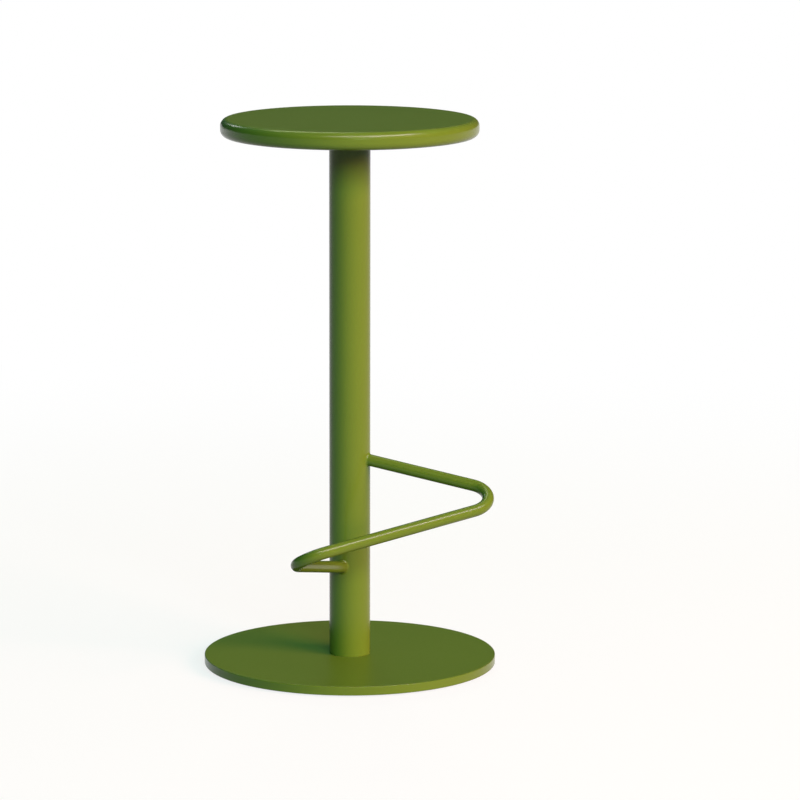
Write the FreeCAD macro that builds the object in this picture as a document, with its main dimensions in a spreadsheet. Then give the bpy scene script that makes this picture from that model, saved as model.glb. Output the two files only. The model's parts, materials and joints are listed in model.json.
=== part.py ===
import FreeCAD, Part
import math
import os

import Sketcher
from FreeCAD import Vector

# Bar stool: a thin round steel seat on a tube column, with a bent bar footrest and a heavy round base.
# Millimetres, +Z up. The origin lies on the floor under the column's axis and the footrest points to -Y.

SIZES = {
    # Seat
    "seat_height": 650,
    "seat_diameter": 302,
    "seat_depth": 21,
    "seat_rim_radius": 8.2,
    "seat_sheet": 2,
    "seat_lip_width": 20,
    "underside_sheet": 2,
    "underside_clearance": 0.8,
    "stiffener_diameter": 190,
    "stiffener_wall": 3,
    # Flange on the column's top and its screws
    "flange_diameter": 140,
    "flange_thickness": 6,
    "flange_chamfer": 0.8,
    "flange_weld": 3,
    "seat_screw_count": 4,
    "seat_screw_inset": 18,
    "seat_screw_diameter": 6,
    "seat_screw_length": 16,
    "seat_screw_hole": 6.6,
    "seat_screw_head": 10.5,
    "seat_screw_head_height": 3.3,
    "seat_screw_head_round": 2.4,
    "seat_screw_key": 4,
    "seat_screw_key_depth": 2,
    "washer_diameter": 12,
    "washer_thickness": 1.6,
    "nut_across_flats": 10,
    "nut_height": 5,
    "thread_clearance": 0.1,
    # Column
    "column_diameter": 48.3,
    "column_wall": 2,
    "socket_depth": 1.5,
    "socket_clearance": 0.15,
    "plug_height": 22,
    "plug_clearance": 0.1,
    # Base and its screws
    "base_diameter": 345,
    "base_thickness": 10.5,
    "base_edge_round": 0.8,
    "base_screw_count": 3,
    "base_screw_inset": 12,
    "base_screw_diameter": 8,
    "base_screw_length": 28,
    "base_screw_hole": 8.4,
    "base_screw_head": 16,
    "base_screw_sink": 0.5,
    "base_screw_key": 5,
    "base_screw_key_depth": 3,
    "countersink_clearance": 0.1,
    # Floor pads
    "pad_diameter": 24,
    "pad_thickness": 2,
    "pad_inset": 22.5,
    "pad_chamfer": 0.4,
    # Footrest: the heights and the reach are those of the corners of the bar's middle line before rounding
    "bar_diameter": 14,
    "bar_bend_radius": 28.5,
    "footrest_reach": 217,
    "footrest_opening_angle": 90,
    "footrest_upper_height": 251,
    "footrest_right_height": 216.5,
    "footrest_left_height": 161,
    "footrest_lower_height": 116,
    "footrest_weld": 1.5,
    "footrest_weld_gap": 0.2,
}
PAD_COUNT = 6

doc = FreeCAD.newDocument("bar_stool")
sheet = doc.addObject("Spreadsheet::Sheet", "Dims")
for row, (alias, number) in enumerate(SIZES.items(), start=1):
    sheet.set(f"A{row}", alias)
    sheet.set(f"B{row}", str(number))
    sheet.setAlias(f"B{row}", alias)
doc.recompute()


class Size:
    """A length with its number now and the text that ties it to the sheet's cells."""

    def __init__(self, number, text):
        self.number = number
        self.text = text

    def __add__(self, other):
        other = size_of(other)
        return Size(self.number + other.number, f"({self.text} + {other.text})")

    def __sub__(self, other):
        other = size_of(other)
        return Size(self.number - other.number, f"({self.text} - {other.text})")

    def __mul__(self, other):
        other = size_of(other)
        return Size(self.number * other.number, f"({self.text} * {other.text})")

    def __truediv__(self, other):
        other = size_of(other)
        return Size(self.number / other.number, f"({self.text} / {other.text})")


def size_of(item):
    """A Size from a cell's alias, a plain number or a Size."""
    if isinstance(item, Size):
        return item
    if isinstance(item, str):
        return Size(float(getattr(sheet, item)), f"Dims.{item}")
    return Size(item, f"{item:.9f}")


def half(item):
    return size_of(item) / 2


def number_of(item):
    return size_of(item).number


def tie(owner, prop, size):
    owner.setExpression(prop, size_of(size).text)


def tie_constraint(sketch, kind, places, size):
    size = size_of(size)
    index = sketch.addConstraint(Sketcher.Constraint(kind, *places, size.number))
    tie(sketch, f"Constraints[{index}]", size)


def tie_point(sketch, item, place, across, along):
    """Fix one point of a sketch by its two distances from the sketch's origin."""
    tie_constraint(sketch, "DistanceX", (-1, 1, item, place), across)
    tie_constraint(sketch, "DistanceY", (-1, 1, item, place), along)


def origin_item(body, role):
    return next(item for item in body.Origin.OriginFeatures if item.Role == role)


def new_body(label, height):
    body = doc.addObject("PartDesign::Body", label)
    body.Label = label
    tie(body, "Placement.Base.z", height)
    return body


def new_sketch(body, name, role="XY_Plane", raised=0):
    sketch = body.newObject("Sketcher::SketchObject", name)
    sketch.AttachmentSupport = (origin_item(body, role), [""])
    sketch.MapMode = "FlatFace"
    tie(sketch, "AttachmentOffset.Base.z", raised)
    return sketch


def add_circle(sketch, diameter, across=0):
    """Circle on the sketch's X axis."""
    diameter = size_of(diameter)
    across = size_of(across)
    middle = Vector(across.number, 0, 0)
    ring = sketch.addGeometry(Part.Circle(middle, Vector(0, 0, 1), diameter.number / 2))
    tie_constraint(sketch, "Diameter", (ring,), diameter)
    tie_point(sketch, ring, 3, across, 0)


def add_outline(sketch, corners):
    """Closed outline through corners (across, along) or (across, along, radius of its rounding)."""
    spots = []
    for corner in corners:
        spots.append(Vector(size_of(corner[0]).number, size_of(corner[1]).number, 0))
    starts = []
    ends = []
    arcs = {}
    for index, corner in enumerate(corners):
        spot = spots[index]
        starts.append(spot)
        ends.append(spot)
        if len(corner) == 3:
            radius = size_of(corner[2]).number
            back = (spots[index - 1] - spot).normalize()
            onward = (spots[(index + 1) % len(spots)] - spot).normalize()
            middle_angle = back.getAngle(onward) / 2
            setback = radius / math.tan(middle_angle)
            ends[index] = spot + back * setback
            starts[index] = spot + onward * setback
            centre = spot + (back + onward).normalize() * (radius / math.sin(middle_angle))
            arcs[index] = (centre, radius, back.cross(onward).z < 0)
    lines = []
    for index in range(len(corners)):
        following = (index + 1) % len(corners)
        lines.append(sketch.addGeometry(Part.LineSegment(starts[index], ends[following])))
    for index, corner in enumerate(corners):
        before = lines[index - 1]
        after = lines[index]
        if len(corner) == 2:
            sketch.addConstraint(Sketcher.Constraint("Coincident", before, 2, after, 1))
            tie_point(sketch, after, 1, corner[0], corner[1])
            continue
        point = sketch.addGeometry(Part.Point(spots[index]), True)
        tie_point(sketch, point, 1, corner[0], corner[1])
        sketch.addConstraint(Sketcher.Constraint("PointOnObject", point, 1, before))
        sketch.addConstraint(Sketcher.Constraint("PointOnObject", point, 1, after))
        centre, radius, turns_left = arcs[index]
        entry, leave = ends[index] - centre, starts[index] - centre
        if not turns_left:
            entry, leave = leave, entry
        first = math.atan2(entry.y, entry.x)
        last = math.atan2(leave.y, leave.x)
        if last < first:
            last += 2 * math.pi
        circle = Part.Circle(centre, Vector(0, 0, 1), radius)
        arc = sketch.addGeometry(Part.ArcOfCircle(circle, first, last))
        near, far = (1, 2) if turns_left else (2, 1)
        sketch.addConstraint(Sketcher.Constraint("Tangent", before, 2, arc, near))
        sketch.addConstraint(Sketcher.Constraint("Tangent", arc, far, after, 1))
        tie_constraint(sketch, "Radius", (arc,), corner[2])


def add_hexagon(sketch, across_flats, across):
    """Hexagon with its middle on the sketch's X axis."""
    corner_reach = half(across_flats) / math.cos(math.radians(30))
    corners = []
    for step in range(6):
        turn = math.radians(60 * step)
        corners.append((size_of(across) + corner_reach * math.cos(turn), corner_reach * math.sin(turn)))
    add_outline(sketch, corners)


def add_turning_axis(sketch, across, length):
    """Construction line parallel to the sketch's Y axis, used as the axis of a turned shape."""
    across = size_of(across)
    length = size_of(length)
    line = Part.LineSegment(Vector(across.number, 0, 0), Vector(across.number, length.number, 0))
    axis = sketch.addGeometry(line, True)
    tie_point(sketch, axis, 1, across, 0)
    tie_point(sketch, axis, 2, across, length)


def add_pad(body, name, sketch, length):
    pad = body.newObject("PartDesign::Pad", name)
    pad.Profile = sketch
    tie(pad, "Length", length)
    doc.recompute()
    return pad


def add_pocket(body, name, sketch, depth, upward=False):
    pocket = body.newObject("PartDesign::Pocket", name)
    pocket.Profile = sketch
    pocket.Reversed = upward
    tie(pocket, "Length", depth)
    doc.recompute()
    return pocket


def add_revolution(body, name, sketch, axis="V_Axis"):
    turned = body.newObject("PartDesign::Revolution", name)
    turned.Profile = sketch
    turned.ReferenceAxis = (sketch, [axis])
    turned.Angle = 360
    doc.recompute()
    return turned


def add_ring(body, name, features, count):
    """Repeat features round the body's Z axis."""
    ring = body.newObject("PartDesign::PolarPattern", name)
    ring.Originals = features
    ring.Axis = (origin_item(body, "Z_Axis"), [""])
    ring.Angle = 360
    tie(ring, "Occurrences", count)
    body.Tip = ring
    doc.recompute()
    return ring


def circle_edges(shape, diameter):
    """Names of the full circles of one diameter in a shape."""
    radius = size_of(diameter).number / 2
    names = []
    for index, edge in enumerate(shape.Edges, start=1):
        if isinstance(edge.Curve, Part.Circle) and abs(edge.Curve.Radius - radius) < 1e-6:
            names.append(f"Edge{index}")
    return names


def ease_edges(body, kind, name, feature, diameter, size):
    """Fillet or chamfer on all edges of one diameter."""
    eased = body.newObject(f"PartDesign::{kind}", name)
    eased.Base = (feature, circle_edges(feature.Shape, diameter))
    tie(eased, "Radius" if kind == "Fillet" else "Size", size)
    doc.recompute()
    return eased


# Levels of the faces that pieces meet at
base_bottom = size_of("pad_thickness")
base_top = base_bottom + "base_thickness"
column_foot = base_top - "socket_depth"
seat_bottom = size_of("seat_height") - "seat_depth"
flange_top = seat_bottom + "seat_sheet"
column_top = flange_top - "flange_thickness"
underside_top = flange_top + "underside_sheet"
washer_bottom = column_top - "washer_thickness"

# Distances of the turned shapes and the screw axes from the column's axis
column_radius = half("column_diameter")
screw_axis = column_radius - "base_screw_inset"
seat_axis = half("flange_diameter") - "seat_screw_inset"
pad_reach = half("base_diameter") - "pad_inset"
rim = half("seat_diameter")
rim_flat = rim - "seat_rim_radius"

# Base plate, with a shallow socket that centres the column and countersunk holes from below
base_plate = new_body("base_plate", base_bottom)
disc = new_sketch(base_plate, "base_outline")
add_circle(disc, "base_diameter")
plate = add_pad(base_plate, "base_disc", disc, "base_thickness")
plate = ease_edges(base_plate, "Fillet", "base_eased_edges", plate, "base_diameter", "base_edge_round")
socket = new_sketch(base_plate, "base_socket_outline", raised="base_thickness")
add_circle(socket, size_of("column_diameter") + size_of("socket_clearance") * 2)
add_pocket(base_plate, "base_socket", socket, "socket_depth")
screw_spot = new_sketch(base_plate, "base_screw_spot")
add_circle(screw_spot, "base_screw_hole", screw_axis)
hole = base_plate.newObject("PartDesign::Hole", "base_screw_hole")
hole.Profile = screw_spot
hole.Reversed = True
hole.Threaded = False
hole.DepthType = "ThroughAll"
hole.HoleCutType = "Countersink"
hole.HoleCutCustomValues = True
hole.HoleCutCountersinkAngle = 90
tie(hole, "Diameter", "base_screw_hole")
sink_width = size_of("base_screw_sink") + "countersink_clearance"
tie(hole, "HoleCutDiameter", size_of("base_screw_head") + sink_width * 2)
doc.recompute()
add_ring(base_plate, "base_screw_holes", [hole], "base_screw_count")

# Floor pads, spread evenly under the edge of the base
floor_pads = []
for number in range(1, PAD_COUNT + 1):
    turn = math.radians(360 * (number - 1) / PAD_COUNT - 90)
    pad_body = new_body(f"floor_pad_{number}", 0)
    tie(pad_body, "Placement.Base.x", pad_reach * math.cos(turn))
    tie(pad_body, "Placement.Base.y", pad_reach * math.sin(turn))
    outline = new_sketch(pad_body, f"pad_outline_{number}")
    add_circle(outline, "pad_diameter")
    thick = add_pad(pad_body, f"pad_disc_{number}", outline, "pad_thickness")
    ease_edges(pad_body, "Chamfer", f"pad_edges_{number}", thick, "pad_diameter", "pad_chamfer")
    floor_pads.append(pad_body)

# Countersunk screws that hold the base to the plug in the column's foot
base_screws = new_body("base_screws", base_bottom + "base_screw_sink")
head_radius = half("base_screw_head")
shank_radius = half("base_screw_diameter")
profile = new_sketch(base_screws, "base_screw_profile", "XZ_Plane")
add_outline(profile, [
    (screw_axis, 0),
    (screw_axis + head_radius, 0),
    (screw_axis + shank_radius, head_radius - shank_radius),
    (screw_axis + shank_radius, "base_screw_length"),
    (screw_axis, "base_screw_length"),
])
add_turning_axis(profile, screw_axis, "base_screw_length")
turned = add_revolution(base_screws, "base_screw", profile, "Axis0")
key = new_sketch(base_screws, "base_screw_key_outline")
add_hexagon(key, "base_screw_key", screw_axis)
key_socket = add_pocket(base_screws, "base_screw_key_socket", key, "base_screw_key_depth", upward=True)
add_ring(base_screws, "base_screw_group", [turned, key_socket], "base_screw_count")

# Column tube, standing in the base's socket and ending under the flange
column_length = column_top - column_foot
column_bore = size_of("column_diameter") - size_of("column_wall") * 2
column_tube = new_body("column_tube", column_foot)
walls = new_sketch(column_tube, "column_walls")
add_circle(walls, "column_diameter")
add_circle(walls, column_bore)
add_pad(column_tube, "column_length", walls, column_length)

# Plug in the column's foot, tapped for the base screws
column_plug = new_body("column_plug", column_foot)
outline = new_sketch(column_plug, "plug_outline")
add_circle(outline, column_bore - size_of("plug_clearance") * 2)
add_pad(column_plug, "plug_disc", outline, "plug_height")
tapping = new_sketch(column_plug, "plug_tapping")
add_circle(tapping, size_of("base_screw_diameter") + size_of("thread_clearance") * 2, screw_axis)
tapped = add_pocket(column_plug, "plug_tapped_hole", tapping, "plug_height", upward=True)
add_ring(column_plug, "plug_tapped_holes", [tapped], "base_screw_count")

# Flange welded on the column's top end
seat_flange = new_body("seat_flange", column_top)
outline = new_sketch(seat_flange, "flange_outline")
add_circle(outline, "flange_diameter")
plate = add_pad(seat_flange, "flange_disc", outline, "flange_thickness")
ease_edges(seat_flange, "Chamfer", "flange_edges", plate, "flange_diameter", "flange_chamfer")
spot = new_sketch(seat_flange, "flange_screw_spot")
add_circle(spot, "seat_screw_hole", seat_axis)
drilled = add_pocket(seat_flange, "flange_screw_hole", spot, "flange_thickness", upward=True)
add_ring(seat_flange, "flange_screw_holes", [drilled], "seat_screw_count")

# Fillet weld in the corner between the tube and the flange
column_top_weld = new_body("column_top_weld", column_top)
corner = new_sketch(column_top_weld, "top_weld_profile", "XZ_Plane")
add_outline(corner, [
    (column_radius, size_of("flange_weld") * -1),
    (column_radius + "flange_weld", 0),
    (column_radius, 0),
])
add_revolution(column_top_weld, "top_weld_bead", corner)

# Washers and button head screws under the flange, and weld nuts on the seat's underside disc
thread_hole = size_of("seat_screw_diameter") + size_of("thread_clearance") * 2
seat_washers = new_body("seat_washers", washer_bottom)
outline = new_sketch(seat_washers, "washer_outline")
add_circle(outline, "washer_diameter", seat_axis)
add_circle(outline, thread_hole, seat_axis)
washer = add_pad(seat_washers, "washer", outline, "washer_thickness")
add_ring(seat_washers, "washer_group", [washer], "seat_screw_count")

seat_screws = new_body("seat_screws", washer_bottom - "seat_screw_head_height")
head_radius = half("seat_screw_head")
shank_radius = half("seat_screw_diameter")
shank_end = size_of("seat_screw_head_height") + "seat_screw_length"
profile = new_sketch(seat_screws, "seat_screw_profile", "XZ_Plane")
add_outline(profile, [
    (seat_axis, 0),
    (seat_axis + head_radius, 0, "seat_screw_head_round"),
    (seat_axis + head_radius, "seat_screw_head_height"),
    (seat_axis + shank_radius, "seat_screw_head_height"),
    (seat_axis + shank_radius, shank_end),
    (seat_axis, shank_end),
])
add_turning_axis(profile, seat_axis, shank_end)
turned = add_revolution(seat_screws, "seat_screw", profile, "Axis0")
key = new_sketch(seat_screws, "seat_screw_key_outline")
add_hexagon(key, "seat_screw_key", seat_axis)
key_socket = add_pocket(seat_screws, "seat_screw_key_socket", key, "seat_screw_key_depth", upward=True)
add_ring(seat_screws, "seat_screw_group", [turned, key_socket], "seat_screw_count")

seat_weld_nuts = new_body("seat_weld_nuts", underside_top)
outline = new_sketch(seat_weld_nuts, "nut_outline")
add_hexagon(outline, "nut_across_flats", seat_axis)
add_circle(outline, thread_hole, seat_axis)
nut = add_pad(seat_weld_nuts, "nut", outline, "nut_height")
add_ring(seat_weld_nuts, "nut_group", [nut], "seat_screw_count")

# Seat shell, spun from one sheet with its rim rolled round and turned under to a flat lip
seat_shell = new_body("seat_shell", seat_bottom)
inner_rim = rim - "seat_sheet"
inner_round = size_of("seat_rim_radius") - "seat_sheet"
inner_top = size_of("seat_depth") - "seat_sheet"
lip_edge = rim_flat - "seat_lip_width"
profile = new_sketch(seat_shell, "seat_profile", "XZ_Plane")
add_outline(profile, [
    (0, "seat_depth"),
    (0, inner_top),
    (inner_rim, inner_top, inner_round),
    (inner_rim, "seat_sheet", inner_round),
    (lip_edge, "seat_sheet"),
    (lip_edge, 0),
    (rim, 0, "seat_rim_radius"),
    (rim, "seat_depth", "seat_rim_radius"),
])
add_revolution(seat_shell, "seat_spun_shell", profile)

# Underside disc, lying on the shell's lip, with clearance holes for the seat screws
seat_underside = new_body("seat_underside", flange_top)
outline = new_sketch(seat_underside, "underside_outline")
add_circle(outline, (rim_flat - "underside_clearance") * 2)
add_pad(seat_underside, "underside_disc", outline, "underside_sheet")
spot = new_sketch(seat_underside, "underside_screw_spot")
add_circle(spot, "seat_screw_hole", seat_axis)
drilled = add_pocket(seat_underside, "underside_screw_hole", spot, "underside_sheet", upward=True)
add_ring(seat_underside, "underside_screw_holes", [drilled], "seat_screw_count")

# Stiffening ring that holds the seat's top sheet and its underside disc apart
seat_stiffener = new_body("seat_stiffener", underside_top)
outline = new_sketch(seat_stiffener, "stiffener_outline")
add_circle(outline, "stiffener_diameter")
add_circle(outline, size_of("stiffener_diameter") - size_of("stiffener_wall") * 2)
add_pad(seat_stiffener, "stiffener_ring", outline, size_of("seat_height") - "seat_sheet" - underside_top)


def footrest_corners():
    """Corners of the bar's middle line, from the column's axis round both corners back to the axis."""
    reach = number_of("footrest_reach")
    spread = math.radians(number_of("footrest_opening_angle") / 2)
    across = reach * math.sin(spread)
    forward = reach * math.cos(spread)
    return [
        Vector(0, 0, number_of("footrest_upper_height")),
        Vector(across, -forward, number_of("footrest_right_height")),
        Vector(-across, -forward, number_of("footrest_left_height")),
        Vector(0, 0, number_of("footrest_lower_height")),
    ]


def bent_line(corners, radius):
    """Wire of straight runs joined by arcs, each arc in the plane of its two runs."""
    edges = []
    start = corners[0]
    for before, corner, after in zip(corners, corners[1:], corners[2:]):
        back = (before - corner).normalize()
        onward = (after - corner).normalize()
        middle_angle = back.getAngle(onward) / 2
        setback = radius / math.tan(middle_angle)
        inset = radius / math.sin(middle_angle) - radius
        entry = corner + back * setback
        leave = corner + onward * setback
        middle = corner + (back + onward).normalize() * inset
        edges.append(Part.makeLine(start, entry))
        edges.append(Part.Arc(entry, middle, leave).toShape())
        start = leave
    edges.append(Part.makeLine(start, corners[-1]))
    return Part.Wire(edges)


def round_disc(radius, middle, direction):
    return Part.Face(Part.Wire(Part.makeCircle(radius, middle, direction)))


def weld_bead(axis_point, outer_point):
    """Bead in the corner between the column and one leg of the bar."""
    span = number_of("bar_diameter") * 6
    tube = Part.makeCylinder(column_radius.number, span, axis_point - Vector(0, 0, span / 2))
    rod_length = column_radius.number + span / 2
    rod = Part.makeCylinder(bar_radius, rod_length, axis_point, outer_point - axis_point)
    joined = tube.fuse(rod)
    seam = []
    for edge in joined.Edges:
        gaps = [abs(math.hypot(point.x, point.y) - column_radius.number) for point in edge.discretize(9)]
        rise = edge.BoundBox.ZLength
        if max(gaps) < 1e-3 and 1e-3 < rise < span / 2:
            seam.append(edge)
    filled = joined.makeChamfer(number_of("footrest_weld"), seam)
    return filled.cut(tube).cut(rod)


# Footrest: one round bar, bent twice, its ends coped to the column
bar_radius = number_of("bar_diameter") / 2
corners = footrest_corners()
centreline = bent_line(corners, number_of("bar_bend_radius"))
swept = centreline.makePipe(round_disc(bar_radius, corners[0], corners[1] - corners[0]))
cope_radius = column_radius.number + number_of("footrest_weld_gap")
cope = Part.makeCylinder(cope_radius, number_of("seat_height"))
footrest_bar = doc.addObject("Part::Feature", "footrest_bar")
footrest_bar.Label = "footrest_bar"
footrest_bar.Shape = swept.cut(cope)

# Weld beads round the ends of the bar
footrest_welds = []
for label, near, far in (("upper", corners[0], corners[1]), ("lower", corners[3], corners[2])):
    bead = doc.addObject("Part::Feature", f"footrest_{label}_weld")
    bead.Label = f"footrest_{label}_weld"
    bead.Shape = weld_bead(near, far)
    footrest_welds.append(bead)

pieces = [
    base_plate,
    *floor_pads,
    base_screws,
    column_tube,
    column_plug,
    column_top_weld,
    seat_flange,
    seat_washers,
    seat_screws,
    seat_weld_nuts,
    seat_shell,
    seat_underside,
    seat_stiffener,
    footrest_bar,
    *footrest_welds,
]

doc.recompute()
for item in doc.Objects:
    if "Invalid" in item.State or "Error" in item.State:
        raise RuntimeError(f"{item.Name} did not build: {item.State}")
os.makedirs("parts", exist_ok=True)
for piece in pieces:
    shape = piece.Shape
    if shape.isNull() or not shape.isValid() or not shape.Solids:
        raise RuntimeError(f"{piece.Label} has no sound solid")
    shape.exportStep(f"parts/{piece.Label}.step")
    box = shape.BoundBox
    print(
        f"{piece.Label}: solids {len(shape.Solids)}, volume {shape.Volume:.0f} mm3, "
        f"x {box.XMin:.2f} to {box.XMax:.2f}, y {box.YMin:.2f} to {box.YMax:.2f}, "
        f"z {box.ZMin:.2f} to {box.ZMax:.2f}"
    )
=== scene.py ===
# %% [markdown]
# # A bar stool in green powder coat
#
# The stool is a thin round steel seat on a tube, with a bent bar for the feet and a heavy round base.
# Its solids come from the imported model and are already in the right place, in metres, with +Z up.
# This lesson dresses them: it sets the camera, the light and the floor, mixes the finishes, and builds
# the pieces whose surface says more than a plain solid can.

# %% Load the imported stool
import json
import math

import bmesh
import bpy
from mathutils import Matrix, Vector


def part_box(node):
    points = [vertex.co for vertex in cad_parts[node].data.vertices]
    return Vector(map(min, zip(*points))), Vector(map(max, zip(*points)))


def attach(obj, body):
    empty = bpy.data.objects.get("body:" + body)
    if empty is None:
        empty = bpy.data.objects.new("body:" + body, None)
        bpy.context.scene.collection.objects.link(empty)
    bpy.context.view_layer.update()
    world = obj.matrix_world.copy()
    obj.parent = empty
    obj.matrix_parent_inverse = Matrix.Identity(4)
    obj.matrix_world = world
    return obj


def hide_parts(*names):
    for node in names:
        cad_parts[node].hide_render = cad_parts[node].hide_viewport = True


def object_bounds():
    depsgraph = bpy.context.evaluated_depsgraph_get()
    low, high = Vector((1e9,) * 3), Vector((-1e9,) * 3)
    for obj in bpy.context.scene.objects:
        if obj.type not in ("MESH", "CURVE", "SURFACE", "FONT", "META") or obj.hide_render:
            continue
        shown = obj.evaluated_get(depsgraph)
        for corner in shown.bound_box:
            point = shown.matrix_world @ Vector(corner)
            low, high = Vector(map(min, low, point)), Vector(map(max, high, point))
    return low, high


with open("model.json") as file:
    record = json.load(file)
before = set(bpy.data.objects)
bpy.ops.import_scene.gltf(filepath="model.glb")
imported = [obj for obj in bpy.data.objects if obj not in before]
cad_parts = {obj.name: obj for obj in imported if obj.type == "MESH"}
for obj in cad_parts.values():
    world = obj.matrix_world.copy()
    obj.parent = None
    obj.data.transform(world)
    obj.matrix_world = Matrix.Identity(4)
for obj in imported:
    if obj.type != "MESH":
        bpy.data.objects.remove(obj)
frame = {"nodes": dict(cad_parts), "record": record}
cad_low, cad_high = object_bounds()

nodes = frame["nodes"]
scene = bpy.context.scene
scene.view_settings.view_transform = "Standard"
print("nodes:", len(nodes), "box:", [round(v, 4) for v in (*cad_low, *cad_high)])

# %% [markdown]
# ## Camera
#
# A photograph of furniture for a catalogue is taken from far off with a long lens, so that the seat and
# the base keep their true proportions. The camera could be turned by eye until it looks right. Here its
# distance, height and tilt were worked out from the round outlines of the seat and the base, which are
# ellipses whose flatness gives the height of the eye. The stool stands left of the middle of the frame,
# and that is what the lens shift is for.

# %% Camera
CAMERA_AZIMUTH = math.radians(-22.99)
CAMERA_REACH = 5.0053
CAMERA_HEIGHT = 1.1960
CAMERA_TILT = math.radians(9.959)
CAMERA_LENS = 194.30
CAMERA_SENSOR = 36
CAMERA_SHIFT = 0.06275


def round_the_stool(azimuth, reach, height):
    """A place round the column: azimuth 0 is in front, along -Y, and it grows towards +X."""
    return Vector((math.sin(azimuth) * reach, -math.cos(azimuth) * reach, height))


lens = bpy.data.cameras.new("catalogue_lens")
lens.lens = CAMERA_LENS
lens.sensor_width = CAMERA_SENSOR
lens.shift_x = CAMERA_SHIFT
camera = bpy.data.objects.new("catalogue_camera", lens)
camera.location = round_the_stool(CAMERA_AZIMUTH, CAMERA_REACH, CAMERA_HEIGHT)
camera.rotation_euler = (math.pi / 2 - CAMERA_TILT, 0, CAMERA_AZIMUTH)
scene.collection.objects.link(camera)
scene.camera = camera
print("camera at", [round(v, 3) for v in camera.location])

# %% [markdown]
# ## A small language for shaders
#
# A finish is a network of nodes, and nodes are tiresome to wire by hand. The class below wraps one
# socket. Sums and products of wrapped sockets add their own Math nodes, so a mask can be written as
# plain arithmetic, and every other node comes from the one method called node.

# %% Shader arithmetic


class Shade:
    """A value on its way through a node tree."""

    def __init__(self, tree, socket=None):
        self.tree = tree
        self.socket = socket

    def node(self, kind, settings=None, inputs=None, output=0):
        """Add a node: its settings first, then the values or links of its sockets."""
        made = self.tree.nodes.new(kind)
        for name, setting in (settings or {}).items():
            setattr(made, name, setting)
        for name, value in (inputs or {}).items():
            if isinstance(value, Shade):
                self.tree.links.new(value.socket, made.inputs[name])
            else:
                made.inputs[name].default_value = value
        return Shade(self.tree, made.outputs[output] if made.outputs else None)

    def maths(self, operation, first, second):
        return self.node("ShaderNodeMath", {"operation": operation}, {0: first, 1: second})

    def __add__(self, other):
        return self.maths("ADD", self, other)

    def __radd__(self, other):
        return self.maths("ADD", other, self)

    def __sub__(self, other):
        return self.maths("SUBTRACT", self, other)

    def __rsub__(self, other):
        return self.maths("SUBTRACT", other, self)

    def __mul__(self, other):
        return self.maths("MULTIPLY", self, other)

    def __rmul__(self, other):
        return self.maths("MULTIPLY", other, self)


def new_finish(name):
    """An empty material and the start of its node tree."""
    material = bpy.data.materials.new(name)
    material.use_nodes = True
    material.node_tree.nodes.clear()
    return material, Shade(material.node_tree)


def blend_colours(start, factor, dark, light):
    """Colour between two others by a factor that varies over the surface."""
    inputs = {0: factor, 6: (*dark, 1), 7: (*light, 1)}
    return start.node("ShaderNodeMix", {"data_type": "RGBA"}, inputs, output=2)


def grain(start, scale, detail):
    """Noise of a given number of waves per metre, fixed to the stool's own frame."""
    place = start.node("ShaderNodeTexCoord", output="Object")
    inputs = {"Vector": place, "Scale": scale, "Detail": detail}
    return start.node("ShaderNodeTexNoise", None, inputs)


def raised(start, height, distance):
    """Normal of a surface whose height varies by the distance in metres."""
    return start.node("ShaderNodeBump", None, {"Height": height, "Distance": distance, "Strength": 1.0})


def end_finish(start, sockets):
    """Close a finish with the surface shader."""
    surface = start.node("ShaderNodeBsdfPrincipled", None, sockets)
    start.node("ShaderNodeOutputMaterial", None, {"Surface": surface})


print("shader arithmetic ready")

# %% [markdown]
# ## Powder coat
#
# The seat, the column, the footrest and the base are all one colour, a satin olive green. Powder is
# sprayed dry and melted in an oven, and as it flows out it leaves a very shallow unevenness, about two
# millimetres from crest to crest, that softens every highlight. The colour itself hardly varies. A flat
# colour would look like plastic, so the finish has that unevenness as a bump, a slight change of gloss
# with it, and a faint cloudiness in the green. The two broad flat tops are rubbed more matt than the
# curves, on the seat by clothes and on the base by shoes. A mask could be painted there, but a top is all
# at one height, so its height finds it.

# %% Powder coat
GREEN_DEEP = (0.084, 0.148, 0.013)
GREEN_LIGHT = (0.094, 0.162, 0.016)
COAT_WAVES = 420
COAT_SPECKS = 2600
COAT_CLOUDS = 14
COAT_RELIEF = 0.000002
COAT_GLOSS = 0.21
COAT_GLOSS_SWING = 0.06
COAT_SPECULAR = 0.2
CLOUD_SHARE = 0.7
FLOW_SHARE = 0.85
RUBBED_MATT = 0.10
SEAT_FADE = (0.0002, 0.0008)
BASE_FADE = (0.0001, 0.0005)
seat_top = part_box("seat_shell")[1].z
base_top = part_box("base_plate")[1].z


def near_height(start, height, fade):
    """Mask that is 1 at a height on the stool and fades out between two distances from it."""
    place = start.node("ShaderNodeTexCoord", output="Object")
    level = start.node("ShaderNodeSeparateXYZ", None, {"Vector": place}, output="Z")
    away = start.node("ShaderNodeMath", {"operation": "ABSOLUTE"}, {0: level - height})
    ends = {"From Min": fade[0], "From Max": fade[1], "To Min": 1.0, "To Max": 0.0}
    return start.node("ShaderNodeMapRange", None, {"Value": away, **ends})


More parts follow.
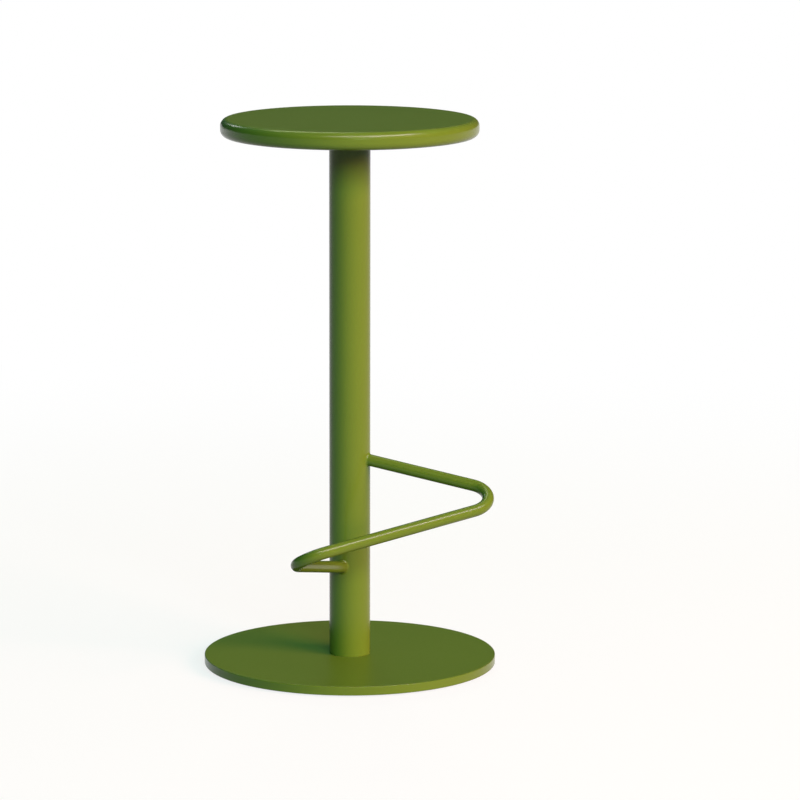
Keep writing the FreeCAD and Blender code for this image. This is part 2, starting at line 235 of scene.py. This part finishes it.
def powder_coat():
    material, start = new_finish("green_powder_coat")
    rubbed = near_height(start, seat_top, SEAT_FADE) + near_height(start, base_top, BASE_FADE)
    flow = grain(start, COAT_WAVES, detail=2.0)
    specks = grain(start, COAT_SPECKS, detail=1.0)
    clouds = grain(start, COAT_CLOUDS, detail=3.0)
    cloudiness = CLOUD_SHARE * clouds + (1 - CLOUD_SHARE) * specks
    relief = FLOW_SHARE * flow + (1 - FLOW_SHARE) * specks
    end_finish(start, {
        "Base Color": blend_colours(start, cloudiness, GREEN_DEEP, GREEN_LIGHT),
        "Roughness": COAT_GLOSS + COAT_GLOSS_SWING * flow + RUBBED_MATT * rubbed,
        "Normal": raised(start, relief, COAT_RELIEF),
        "Specular IOR Level": COAT_SPECULAR,
    })
    return material


green_coat = powder_coat()
print("finish:", green_coat.name, "matt at", round(seat_top, 4), "and", round(base_top, 4))

# %% [markdown]
# ## Zinc, plain steel and rubber
#
# The screws and washers under the seat and the base are bright zinc, the pieces sealed inside the seat
# and the column are bare steel, and the pads are black rubber, rubbed smoother where its grain stands up.
# None of them shows in a catalogue view, but someone who turns the stool over sees most of them. One metal
# finish with two tones does for both metals, because they differ only in tone, gloss and grain.

# %% Zinc, plain steel and rubber
ZINC_TONES = ((0.55, 0.57, 0.60), (0.70, 0.71, 0.72))
STEEL_TONES = ((0.34, 0.34, 0.35), (0.46, 0.46, 0.47))
METAL_GLOSS_SWING = 0.1
RUBBER_TONES = ((0.018, 0.018, 0.018), (0.035, 0.034, 0.033))
RUBBER_GRIT = 1400
RUBBER_DUST = 90
RUBBER_RELIEF = 0.00008
RUBBER_DULL = 0.92
RUBBER_RUBBED = 0.2


def metal(name, tones, waves, gloss, relief):
    """A metal whose tone and gloss drift with one noise."""
    material, start = new_finish(name)
    drift = grain(start, waves, detail=4.0)
    end_finish(start, {
        "Base Color": blend_colours(start, drift, *tones),
        "Metallic": 1.0,
        "Roughness": gloss + METAL_GLOSS_SWING * drift,
        "Normal": raised(start, drift, relief),
    })
    return material


def pad_rubber():
    material, start = new_finish("black_rubber")
    grit = grain(start, RUBBER_GRIT, detail=4.0)
    dust = grain(start, RUBBER_DUST, detail=3.0)
    end_finish(start, {
        "Base Color": blend_colours(start, dust, *RUBBER_TONES),
        "Roughness": RUBBER_DULL - RUBBER_RUBBED * grit,
        "Normal": raised(start, grit, RUBBER_RELIEF),
    })
    return material


zinc = metal("bright_zinc", ZINC_TONES, waves=300, gloss=0.27, relief=0.00001)
bare_steel = metal("bare_steel", STEEL_TONES, waves=160, gloss=0.37, relief=0.00003)
rubber = pad_rubber()
print("finishes:", zinc.name, bare_steel.name, rubber.name)

# %% [markdown]
# ## Dressing the solids
#
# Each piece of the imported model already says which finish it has. So the finishes are handed out by that
# name instead of piece by piece, and no piece can be forgotten.

# %% Hand out the finishes
FINISHES = {
    "green_coat": green_coat,
    "zinc_plated": zinc,
    "plain_steel": bare_steel,
    "pad_rubber": rubber,
}


def dress(piece, material):
    piece.data.materials.clear()
    piece.data.materials.append(material)


for entry in frame["record"]["subparts"]:
    dress(nodes[entry["node"]], FINISHES[entry["material_slot"]])

# %% [markdown]
# ## Weld beads
#
# The footrest is a round bar welded to the tube at both ends, and the tube is welded to the flange under
# the seat. A weld is laid in one slow pass, so its face is a hollow curve with fine ripples across it, and
# after coating it reads as a soft turn where the bar meets the tube. A chamfered solid has hard edges
# there, so each bead is built again. First comes the seam itself: round the bar it is a saddle, the curve in
# which a small cylinder meets a larger one at a slant, and under the flange it is a plain circle.

# %% Seams
COLUMN_RADIUS = 0.02415
BAR_RADIUS = 0.007
BEAD_LEG = 0.0021
TOP_BEAD_LEG = 0.0030
BEAD_RIPPLES = 26
RIPPLE_DEPTH = 0.05
BEAD_SWELLS = 3
SWELL_DEPTH = 0.04


def ripple(turn):
    """Size of the bead at a turn between 0 and 1: fine ripples on slow swells."""
    fine = RIPPLE_DEPTH * math.sin(math.tau * BEAD_RIPPLES * turn)
    slow = SWELL_DEPTH * math.sin(math.tau * BEAD_SWELLS * turn + 1)
    return 1 + fine + slow


def seam_point(middle, along, side, up, radius, turn):
    """Where a line along the bar, at a radius from its axis, meets the tube."""
    offset = radius * (math.cos(math.tau * turn) * side + math.sin(math.tau * turn) * up)
    forward = along.xy.dot(along.xy)
    lean = offset.xy.dot(along.xy)
    rest = offset.xy.dot(offset.xy) - COLUMN_RADIUS ** 2
    travel = (math.sqrt(lean ** 2 - forward * rest) - lean) / forward
    return middle + offset + travel * along


def bar_bead(turn, middle, along):
    """Three corners of the bead at a turn round the bar: on the tube, in the seam, on the bar."""
    side = along.cross(Vector((0, 0, 1))).normalized()
    up = side.cross(along)
    leg = BEAD_LEG * ripple(turn)
    seam = seam_point(middle, along, side, up, BAR_RADIUS, turn)
    on_tube = seam_point(middle, along, side, up, BAR_RADIUS + leg, turn)
    return on_tube, seam, seam + leg * along


def flange_bead(turn, height):
    """The same three corners round the top of the tube, under the flange."""
    out = Vector((math.cos(math.tau * turn), math.sin(math.tau * turn), 0))
    leg = TOP_BEAD_LEG * ripple(turn)
    seam = out * COLUMN_RADIUS + Vector((0, 0, height))
    return seam + leg * out, seam, seam - Vector((0, 0, leg))


print("seams: saddle round the bar, circle under the flange")

# %% [markdown]
# ## Bead rings
#
# A bead could be a pipe swept along the seam, but a pipe would bulge out of the corner instead of filling
# it. Here each step round the seam has a point on the first surface, one on the second and one in the seam
# behind them. A hollow curve joins the first two, and the rows of points are closed to a ring.

# %% Bead rings
BEAD_STEPS = 192
BEAD_ROWS = 8
BEAD_HOLLOW = 0.16
BEAD_CREASE = math.radians(50)


def closed_ring(name, corners_at):
    """A ring with a hollow face between two surfaces and its back in the seam."""
    sheet = bmesh.new()
    rings = []
    for step in range(BEAD_STEPS):
        first, seam, last = corners_at(step / BEAD_STEPS)
        control = seam + BEAD_HOLLOW * (first + last - 2 * seam)
        row = [sheet.verts.new(seam)]
        for number in range(BEAD_ROWS + 1):
            t = number / BEAD_ROWS
            row.append(sheet.verts.new((1 - t) ** 2 * first + 2 * t * (1 - t) * control + t ** 2 * last))
        rings.append(row)
    for step, row in enumerate(rings):
        following = rings[(step + 1) % BEAD_STEPS]
        for number in range(len(row)):
            beside = (number + 1) % len(row)
            sheet.faces.new((row[number], row[beside], following[beside], following[number]))
    bmesh.ops.recalc_face_normals(sheet, faces=sheet.faces)
    mesh = bpy.data.meshes.new(name)
    sheet.to_mesh(mesh)
    sheet.free()
    mesh.shade_smooth()
    mesh.set_sharp_from_angle(angle=BEAD_CREASE)
    ring = bpy.data.objects.new(name, mesh)
    scene.collection.objects.link(ring)
    return ring


print("bead rings:", BEAD_STEPS, "steps with", BEAD_ROWS, "rows each")

# %% [markdown]
# ## Laying the welds
#
# The two ends of the footrest point from the axis of the column to the corners of the bar, so those two
# lines say where the seams lie. The third weld takes its height from the flange. Each bead takes the place
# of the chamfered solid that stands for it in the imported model.

# %% Welds
FOOTREST_CORNER = 0.1534
FOOTREST_ENDS = {
    "upper": (Vector((0, 0, 0.251)), Vector((FOOTREST_CORNER, -FOOTREST_CORNER, 0.2165))),
    "lower": (Vector((0, 0, 0.116)), Vector((-FOOTREST_CORNER, -FOOTREST_CORNER, 0.161))),
}


def finish_piece(piece, node, slot):
    """Give a piece its finish, hang it from the stool's root, and hide the imported solid that it replaces.
    """
    dress(piece, FINISHES[slot])
    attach(piece, "root")
    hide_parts(node)


for label, (middle, corner) in FOOTREST_ENDS.items():
    along = (corner - middle).normalized()
    bead = closed_ring(f"{label}_bead", lambda turn: bar_bead(turn, middle, along))
    finish_piece(bead, f"footrest_{label}_weld", "green_coat")
flange_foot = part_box("seat_flange")[0].z
top_bead = closed_ring("top_bead", lambda turn: flange_bead(turn, flange_foot))
finish_piece(top_bead, "column_top_weld", "green_coat")
print("weld beads:", len(FOOTREST_ENDS) + 1)

# %% [markdown]
# ## Floor
#
# The stool stands on a seamless white floor that runs far behind it. A white floor could be burnt out with
# more light, but that light would wash out the green as well. So most of the white comes from the floor
# itself, wherever the camera or a reflection looks at it, and the rest is ordinary matt paper, which keeps
# the soft shadow round the base. Light that bounces finds a darker paper, or the seat would glow from below.

# %% Floor paper
FLOOR_PAPER = (0.82, 0.87, 0.98)
FLOOR_DUST = 0.98
FLOOR_DUST_WAVES = 3
FLOOR_BOUNCE = (0.14, 0.14, 0.14)
FLOOR_NEAR_WHITE = 0.80
FLOOR_FAR_WHITE = 1.0
FLOOR_FADE = (0.5, 2.2)
SMOOTH = {"interpolation_type": "SMOOTHSTEP"}


def white_floor():
    material, start = new_finish("white_floor")
    seen = start.node("ShaderNodeLightPath", output="Is Camera Ray")
    glossy = start.node("ShaderNodeLightPath", output="Is Glossy Ray")
    through = start.node("ShaderNodeLightPath", output="Is Transmission Ray")
    looked_at = start.maths("MAXIMUM", seen, start.maths("MAXIMUM", glossy, through))
    dust = grain(start, FLOOR_DUST_WAVES, detail=2.0)
    dusty = tuple(FLOOR_DUST * part for part in FLOOR_PAPER)
    pale = blend_colours(start, dust, dusty, FLOOR_PAPER)
    shades = {0: looked_at, 6: (*FLOOR_BOUNCE, 1), 7: pale}
    colour = start.node("ShaderNodeMix", {"data_type": "RGBA"}, shades, output=2)
    matt = {"Base Color": colour, "Roughness": 1.0, "Specular IOR Level": 0.0}
    paper = start.node("ShaderNodeBsdfPrincipled", None, matt)
    white = start.node("ShaderNodeEmission", None, {"Color": (1, 1, 1, 1), "Strength": 1.0})
    spot = start.node("ShaderNodeTexCoord", output="Object")
    away = start.node("ShaderNodeVectorMath", {"operation": "LENGTH"}, {0: spot}, output="Value")
    near = {"From Min": FLOOR_FADE[0], "To Min": FLOOR_NEAR_WHITE}
    far = {"From Max": FLOOR_FADE[1], "To Max": FLOOR_FAR_WHITE}
    share = start.node("ShaderNodeMapRange", SMOOTH, {"Value": away, **near, **far})
    mixed = start.node("ShaderNodeMixShader", None, {0: share * looked_at, 1: paper, 2: white})
    start.node("ShaderNodeOutputMaterial", None, {"Surface": mixed})
    return material


floor_paper = white_floor()
print("finish:", floor_paper.name)

# %% [markdown]
# ## Laying the floor
#
# The floor could be a paper sweep that curves up behind the stool. A plain sheet does here, because its far
# edge lies beyond everything that the camera sees.

# %% Floor
FLOOR_SIZE = 120


def flat_floor(name, size):
    mesh = bpy.data.meshes.new(name)
    reach = size / 2
    corners = [(-reach, -reach, 0), (reach, -reach, 0), (reach, reach, 0), (-reach, reach, 0)]
    mesh.from_pydata(corners, [], [(0, 1, 2, 3)])
    sheet = bpy.data.objects.new(name, mesh)
    scene.collection.objects.link(sheet)
    return sheet


floor = flat_floor("studio_floor", FLOOR_SIZE)
dress(floor, floor_paper)
print("floor:", FLOOR_SIZE, "m")

# %% [markdown]
# ## Dome
#
# Soft light from all round fills the shade. A dome of one brightness would lie on the flat tops as a pale
# haze, because from low down they mirror what stands low behind them. So the dome is cool and bright
# overhead and dim near the floor, and the tops keep their green.

# %% Dome
DOME_LOW = (0.035, 0.055, 0.060)
DOME_HIGH = (0.08, 0.38, 0.22)
DOME_RISE = (0.35, 0.85)


def dome():
    """Light from all round, dim at the level of the floor and bright overhead."""
    world = bpy.data.worlds.new("dome")
    world.use_nodes = True
    world.node_tree.nodes.clear()
    start = Shade(world.node_tree)
    direction = start.node("ShaderNodeTexCoord", output="Generated")
    height = start.node("ShaderNodeSeparateXYZ", None, {"Vector": direction}, output="Z")
    rise = {"From Min": DOME_RISE[0], "From Max": DOME_RISE[1]}
    overhead = start.node("ShaderNodeMapRange", SMOOTH, {"Value": height, **rise})
    colour = blend_colours(start, overhead, DOME_LOW, DOME_HIGH)
    glow = start.node("ShaderNodeBackground", None, {"Color": colour, "Strength": 1.0})
    start.node("ShaderNodeOutputWorld", None, {"Surface": glow})
    return world


scene.world = dome()
print("dome: cool, bright overhead")

# %% [markdown]
# ## Lamps that shape
#
# A warm softbox at the front right gives the column its light side and leaves the left side in shade, and
# a cooler one nearer the camera opens that shade a little. Both stand far off, so that the base is lit like
# the seat, and neither is low, so that the seat throws its shadow on the top of the column. A third one,
# straight behind, lights what the camera cannot see, so that the stool reads from the back as well. All
# are kept out of reflections: a softbox this wide would show in the flat tops.

# %% Lamps that shape
KEY_COLOUR = (1.0, 0.45, 0.34)
KEY_POWER = 3000
KEY_AZIMUTH = CAMERA_AZIMUTH + math.radians(57)
KEY_SIZE = (7.0, 4.2)
FRONT_COLOUR = (0.66, 1.0, 0.96)
FRONT_POWER = 960
FRONT_AZIMUTH = CAMERA_AZIMUTH + math.radians(14)
FRONT_SIZE = (5.2, 2.6)
REAR_COLOUR = (0.76, 1.0, 0.60)
REAR_POWER = 480
REAR_AZIMUTH = CAMERA_AZIMUTH + math.pi
REAR_SIZE = (6.0, 3.0)
SOFTBOX_REACH = 10.5
SOFTBOX_HEIGHT = 4.3
stool_middle = (cad_low + cad_high) / 2


def softbox(name, power, colour, size, place):
    """A rectangular lamp that looks at the middle of the stool."""
    lamp_data = bpy.data.lights.new(name, "AREA")
    lamp_data.shape = "RECTANGLE"
    lamp_data.energy = power
    lamp_data.color = colour
    lamp_data.size, lamp_data.size_y = size
    lamp = bpy.data.objects.new(name, lamp_data)
    lamp.location = place
    lamp.rotation_euler = (stool_middle - lamp.location).to_track_quat("-Z", "Y").to_euler()
    scene.collection.objects.link(lamp)
    return lamp


key_place = round_the_stool(KEY_AZIMUTH, SOFTBOX_REACH, SOFTBOX_HEIGHT)
front_place = round_the_stool(FRONT_AZIMUTH, SOFTBOX_REACH, SOFTBOX_HEIGHT)
rear_place = round_the_stool(REAR_AZIMUTH, SOFTBOX_REACH, SOFTBOX_HEIGHT)
shaping_lamps = [
    softbox("key_softbox", KEY_POWER, KEY_COLOUR, KEY_SIZE, key_place),
    softbox("front_softbox", FRONT_POWER, FRONT_COLOUR, FRONT_SIZE, front_place),
    softbox("rear_softbox", REAR_POWER, REAR_COLOUR, REAR_SIZE, rear_place),
]
for lamp in shaping_lamps:
    lamp.visible_glossy = False
print("lamps for shape:", len(shaping_lamps))

# %% [markdown]
# ## Lamps that shine
#
# The line of light along the rim of the seat and along the footrest is the reflection of a long strip, here
# two strips side by side at the front, the right one stronger. A small lamp behind the left side draws the
# glint at the left end of the rim, and a strip behind the seat edges the turn of its top. These lamps only
# shine: they light nothing.

# %% Lamps that shine
STRIP_COLOUR = (1.0, 0.68, 0.95)
STRIP_POWERS = {math.radians(6): 250, math.radians(48): 360}
STRIP_REACH = 3.75
STRIP_HEIGHT = 4.65
STRIP_SIZE = (3.8, 0.9)
EDGE_POWER = 4.5
EDGE_PLACE = round_the_stool(CAMERA_AZIMUTH - math.radians(150), 3.0, 2.1)
EDGE_SIZE = (0.45, 0.45)
BACK_COLOUR = (1.0, 1.0, 0.7)
BACK_POWER = 25
BACK_PLACE = round_the_stool(CAMERA_AZIMUTH - math.radians(158), 2.0, 3.5)
BACK_SIZE = (1.8, 0.5)
shining_lamps = [
    softbox("edge_lamp", EDGE_POWER, (1, 1, 1), EDGE_SIZE, EDGE_PLACE),
    softbox("back_strip", BACK_POWER, BACK_COLOUR, BACK_SIZE, BACK_PLACE),
]
for count, (angle, power) in enumerate(STRIP_POWERS.items()):
    strip_place = round_the_stool(CAMERA_AZIMUTH + angle, STRIP_REACH, STRIP_HEIGHT)
    strip = softbox(f"front_strip_{count}", power, STRIP_COLOUR, STRIP_SIZE, strip_place)
    shining_lamps.append(strip)
for lamp in shining_lamps:
    lamp.visible_diffuse = False
print("lamps for shine:", len(shining_lamps))
